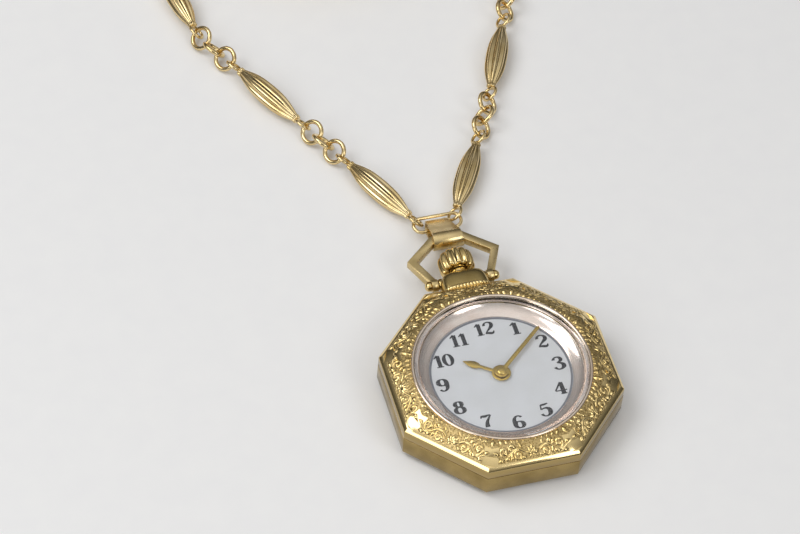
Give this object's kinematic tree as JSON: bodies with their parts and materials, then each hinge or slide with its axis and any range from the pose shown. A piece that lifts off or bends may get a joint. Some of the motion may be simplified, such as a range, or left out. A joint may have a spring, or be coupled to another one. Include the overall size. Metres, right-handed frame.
{
  "type": "pendant watch",
  "caption": "Octagonal pendant watch with an engraved bezel, a fluted crown in a six-sided bow, and a necklace of fluted spindles and rings.",
  "frame": {"origin": "middle of the flat case back, which lies on the floor", "axes": "+Z out through the dial, +Y towards 12 o'clock and the necklace, +X towards 3 o'clock"},
  "size_m": [0.0578, 0.1368, 0.0069],
  "materials": {
    "gilt": "polished",
    "engraved_gilt": "polished and engraved",
    "dial": "silvered",
    "bright_steel": "polished",
    "crystal": "clear",
    "hands": "gilt",
    "movement_brass": "gilt, grained",
    "blue_spring": "blued"
  },
  "bodies": {
    "case": {"case_middle": "gilt", "pendant_tube": "gilt", "bezel": "engraved_gilt", "crystal": "crystal", "rehaut_ring": "bright_steel", "dial": "dial", "case_back": "gilt", "bow_screws": "gilt", "main_plate": "movement_brass", "barrel_bridge": "movement_brass", "train_bridge": "movement_brass", "balance_cock": "movement_brass", "pallet_cock": "movement_brass", "bridge_screws": "bright_steel", "hairspring": "blue_spring", "necklace_coil": "gilt", "left_tail": "gilt", "right_tail": "gilt"},
    "minute_hand_body": {"minute_hand": "hands", "cannon_pinion": "bright_steel"},
    "minute_wheel_body": {"minute_wheel": "movement_brass"},
    "hour_hand_body": {"hour_hand": "hands", "hour_wheel": "movement_brass"},
    "barrel_body": {"mainspring_barrel": "movement_brass", "mainspring": "blue_spring"},
    "center_wheel_body": {"center_wheel": "movement_brass"},
    "third_wheel_body": {"third_wheel": "movement_brass"},
    "fourth_wheel_body": {"fourth_wheel": "movement_brass"},
    "escape_wheel_body": {"escape_wheel": "bright_steel"},
    "pallet_fork_body": {"pallet_fork": "bright_steel"},
    "balance_body": {"balance_wheel": "movement_brass"},
    "winding_pinion_body": {"winding_pinion": "bright_steel"},
    "sliding_pinion_body": {"sliding_pinion": "bright_steel"},
    "crown_body": {"crown": "gilt", "winding_stem": "bright_steel"},
    "crown_wheel_body": {"crown_wheel": "bright_steel"},
    "ratchet_body": {"ratchet_wheel": "bright_steel", "barrel_arbor": "bright_steel"},
    "click_body": {"click": "bright_steel"},
    "bow_body": {"bow": "gilt"},
    "bail_body": {"bail": "gilt"},
    "pendant_ring_body": {"pendant_ring": "gilt"},
    "left_spindle_1_body": {"left_spindle_1": "gilt"},
    "left_ring_1_body": {"left_ring_1": "gilt"},
    "left_ring_2_body": {"left_ring_2": "gilt"},
    "left_ring_3_body": {"left_ring_3": "gilt"},
    "left_spindle_2_body": {"left_spindle_2": "gilt"},
    "left_ring_4_body": {"left_ring_4": "gilt"},
    "left_ring_5_body": {"left_ring_5": "gilt"},
    "right_spindle_1_body": {"right_spindle_1": "gilt"},
    "right_ring_1_body": {"right_ring_1": "gilt"},
    "right_ring_2_body": {"right_ring_2": "gilt"},
    "right_ring_3_body": {"right_ring_3": "gilt"},
    "right_spindle_2_body": {"right_spindle_2": "gilt"},
    "right_ring_4_body": {"right_ring_4": "gilt"},
    "right_ring_5_body": {"right_ring_5": "gilt"}
  },
  "joints": [
    {"name": "minute_hand_turn", "type": "hinge", "parent": "case", "child": "minute_hand_body", "pos_m": [0, 0, 0.004], "axis": [0, 0, 1], "continuous": true},
    {"name": "minute_wheel_turn", "type": "hinge", "parent": "case", "child": "minute_wheel_body", "pos_m": [0, 0.0022, 0.00345], "axis": [0, 0, 1], "continuous": true},
    {"name": "hour_hand_turn", "type": "hinge", "parent": "case", "child": "hour_hand_body", "pos_m": [0, 0, 0.004], "axis": [0, 0, 1], "continuous": true},
    {"name": "fourth_wheel_turn", "type": "hinge", "parent": "case", "child": "fourth_wheel_body", "pos_m": [-0.00404, -0.00107, 0.0029], "axis": [0, 0, 1], "continuous": true},
    {"name": "third_wheel_turn", "type": "hinge", "parent": "case", "child": "third_wheel_body", "pos_m": [-0.0027, 0.00126, 0.0029], "axis": [0, 0, 1], "continuous": true},
    {"name": "center_wheel_turn", "type": "hinge", "parent": "case", "child": "center_wheel_body", "pos_m": [0, 0, 0.0029], "axis": [0, 0, 1], "continuous": true},
    {"name": "barrel_turn", "type": "hinge", "parent": "case", "child": "barrel_body", "pos_m": [0.00382, 0.00224, 0.0029], "axis": [0, 0, 1], "continuous": true},
    {"name": "escape_wheel_turn", "type": "hinge", "parent": "case", "child": "escape_wheel_body", "pos_m": [-0.0044, -0.00368, 0.0029], "axis": [0, 0, 1], "continuous": true},
    {"name": "balance_turn", "type": "hinge", "parent": "case", "child": "balance_body", "pos_m": [0.00113, -0.00506, 0.0029], "axis": [0, 0, 1], "range_deg": [-25, 25], "stiffness_Nm_per_rad": 0.00000003},
    {"name": "pallet_fork_turn", "type": "hinge", "parent": "case", "child": "pallet_fork_body", "pos_m": [-0.00208, -0.00426, 0.0029], "axis": [0, 0, 1], "range_deg": [-4.5, 4.5]},
    {"name": "crown_turn", "type": "hinge", "parent": "case", "child": "winding_pinion_body", "pos_m": [0, 0.0068, 0.00295], "axis": [0, 1, 0], "continuous": true},
    {"name": "crown_pull", "type": "slide", "parent": "winding_pinion_body", "child": "crown_body", "axis": [0, 1, 0], "range_m": [0, 0.0004]},
    {"name": "sliding_pinion_slide", "type": "slide", "parent": "winding_pinion_body", "child": "sliding_pinion_body", "axis": [0, -1, 0], "range_m": [0, 0.0003333]},
    {"name": "crown_wheel_turn", "type": "hinge", "parent": "case", "child": "crown_wheel_body", "pos_m": [0, 0.0049, 0.0009], "axis": [0, 0, 1], "continuous": true},
    {"name": "ratchet_wheel_turn", "type": "hinge", "parent": "case", "child": "ratchet_body", "pos_m": [0.00382, 0.00224, 0.0009], "axis": [0, 0, 1], "continuous": true},
    {"name": "click_lift", "type": "hinge", "parent": "case", "child": "click_body", "pos_m": [0.00589, 0.00554, 0.0009], "axis": [0, 0, -1], "range_deg": [0, 8], "stiffness_Nm_per_rad": 0.000002},
    {"name": "bow_swing", "type": "hinge", "parent": "case", "child": "bow_body", "pos_m": [0, 0.01645, 0.00295], "axis": [1, 0, 0], "range_deg": [-85, 85]},
    {"name": "bail_swing", "type": "hinge", "parent": "bow_body", "child": "bail_body", "pos_m": [0, 0.0234, 0.00295], "axis": [1, 0, 0], "range_deg": [-40, 40]},
    {"name": "pendant_ring_swing", "type": "hinge", "parent": "bail_body", "child": "pendant_ring_body", "pos_m": [0, 0.02634, 0.00144], "axis": [1, 0, 0], "range_deg": [-3, 25]},
    {"name": "left_spindle_1_swing", "type": "hinge", "parent": "pendant_ring_body", "child": "left_spindle_1_body", "pos_m": [-0.00257, 0.02835, 0.00155], "axis": [0, 0, 1], "range_deg": [-12, 12]},
    {"name": "left_ring_1_swing", "type": "hinge", "parent": "left_spindle_1_body", "child": "left_ring_1_body", "pos_m": [-0.0092, 0.04114, 0.00145], "axis": [0, 0, 1], "range_deg": [-12, 12]},
    {"name": "left_ring_2_swing", "type": "hinge", "parent": "left_ring_1_body", "child": "left_ring_2_body", "pos_m": [-0.0102, 0.0431, 0.00145], "axis": [0, 0, 1], "range_deg": [-12, 12]},
    {"name": "left_ring_3_swing", "type": "hinge", "parent": "left_ring_2_body", "child": "left_ring_3_body", "pos_m": [-0.01119, 0.04505, 0.00145], "axis": [0, 0, 1], "range_deg": [-12, 12]},
    {"name": "left_spindle_2_swing", "type": "hinge", "parent": "left_ring_3_body", "child": "left_spindle_2_body", "pos_m": [-0.01219, 0.04702, 0.00145], "axis": [0, 0, 1], "range_deg": [-12, 12]},
    {"name": "left_ring_4_swing", "type": "hinge", "parent": "left_spindle_2_body", "child": "left_ring_4_body", "pos_m": [-0.01911, 0.06028, 0.00145], "axis": [0, 0, 1], "range_deg": [-12, 12]},
    {"name": "left_ring_5_swing", "type": "hinge", "parent": "left_ring_4_body", "child": "left_ring_5_body", "pos_m": [-0.02018, 0.06221, 0.00145], "axis": [0, 0, 1], "range_deg": [-12, 12]},
    {"name": "right_spindle_1_swing", "type": "hinge", "parent": "pendant_ring_body", "child": "right_spindle_1_body", "pos_m": [0.00261, 0.02833, 0.00155], "axis": [0, 0, 1], "range_deg": [-12, 12]},
    {"name": "right_ring_1_swing", "type": "hinge", "parent": "right_spindle_1_body", "child": "right_ring_1_body", "pos_m": [0.00968, 0.04088, 0.00145], "axis": [0, 0, 1], "range_deg": [-12, 12]},
    {"name": "right_ring_2_swing", "type": "hinge", "parent": "right_ring_1_body", "child": "right_ring_2_body", "pos_m": [0.0107, 0.04283, 0.00145], "axis": [0, 0, 1], "range_deg": [-12, 12]},
    {"name": "right_ring_3_swing", "type": "hinge", "parent": "right_ring_2_body", "child": "right_ring_3_body", "pos_m": [0.01171, 0.04478, 0.00145], "axis": [0, 0, 1], "range_deg": [-12, 12]},
    {"name": "right_spindle_2_swing", "type": "hinge", "parent": "right_ring_3_body", "child": "right_spindle_2_body", "pos_m": [0.01273, 0.04673, 0.00145], "axis": [0, 0, 1], "range_deg": [-12, 12]},
    {"name": "right_ring_4_swing", "type": "hinge", "parent": "right_spindle_2_body", "child": "right_ring_4_body", "pos_m": [0.01895, 0.06034, 0.00145], "axis": [0, 0, 1], "range_deg": [-12, 12]},
    {"name": "right_ring_5_swing", "type": "hinge", "parent": "right_ring_4_body", "child": "right_ring_5_body", "pos_m": [0.01981, 0.06237, 0.00145], "axis": [0, 0, 1], "range_deg": [-12, 12]}
  ],
  "couplings": [
    {"joint": "minute_wheel_turn", "follows": "minute_hand_turn", "ratio": -0.33333},
    {"joint": "hour_hand_turn", "follows": "minute_hand_turn", "ratio": 0.083333},
    {"joint": "third_wheel_turn", "follows": "fourth_wheel_turn", "ratio": -0.13333},
    {"joint": "center_wheel_turn", "follows": "fourth_wheel_turn", "ratio": 0.016667},
    {"joint": "barrel_turn", "follows": "fourth_wheel_turn", "ratio": -0.0022222},
    {"joint": "escape_wheel_turn", "follows": "fourth_wheel_turn", "ratio": -10},
    {"joint": "crown_wheel_turn", "follows": "crown_turn", "ratio": 0.5},
    {"joint": "ratchet_wheel_turn", "follows": "crown_turn", "ratio": -0.33333},
    {"joint": "sliding_pinion_slide", "follows": "crown_pull", "ratio": 0.8333},
    {"joint": "pallet_fork_turn", "follows": "balance_turn", "ratio": -0.17857}
  ]
}
